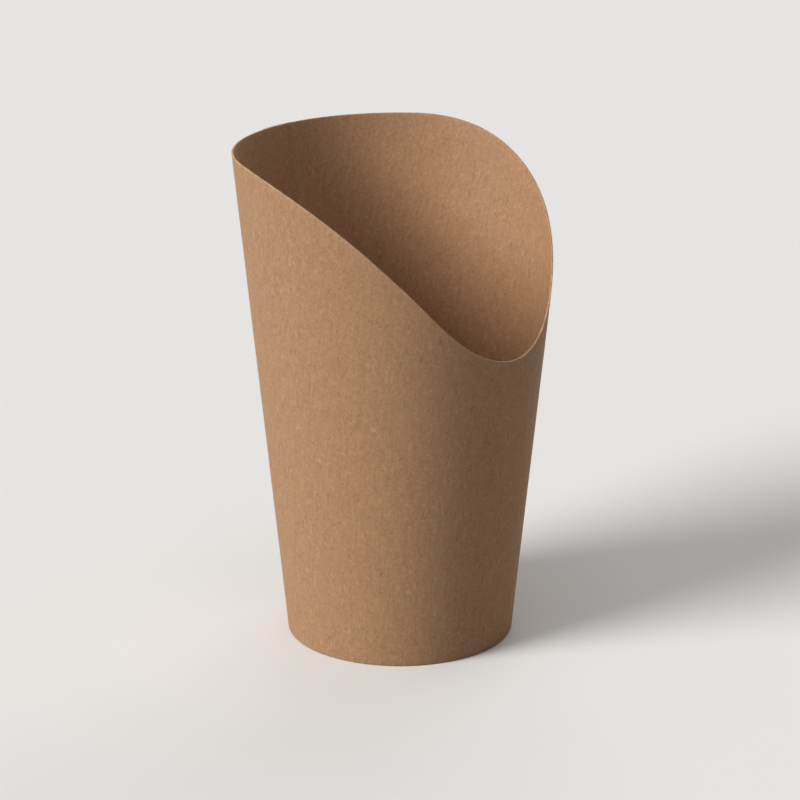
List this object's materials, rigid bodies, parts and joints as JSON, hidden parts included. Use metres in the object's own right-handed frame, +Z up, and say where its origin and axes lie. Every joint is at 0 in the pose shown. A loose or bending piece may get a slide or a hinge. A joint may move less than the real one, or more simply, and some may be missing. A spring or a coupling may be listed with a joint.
{
  "type": "kraft paper food cup",
  "caption": "Tapered kraft paper food cup with a high level back, a scooped front rim, a lapped back seam and a recessed board floor held in a turned-in hem.",
  "frame": {"origin": "middle of the round foot, on the surface that the cup stands on, on the cone's axis", "axes": "+Z up along the cone's axis, -Y towards the low point of the scooped front, +Y towards the back seam, +X to the right when the scoop is seen from the front"},
  "size_m": [0.0792, 0.0759, 0.122],
  "materials": {
    "kraft_sleeve": "matte",
    "kraft_base": "matte"
  },
  "bodies": {
    "root": {"sleeve": "kraft_sleeve", "base_disc": "kraft_base"}
  },
  "joints": []
}
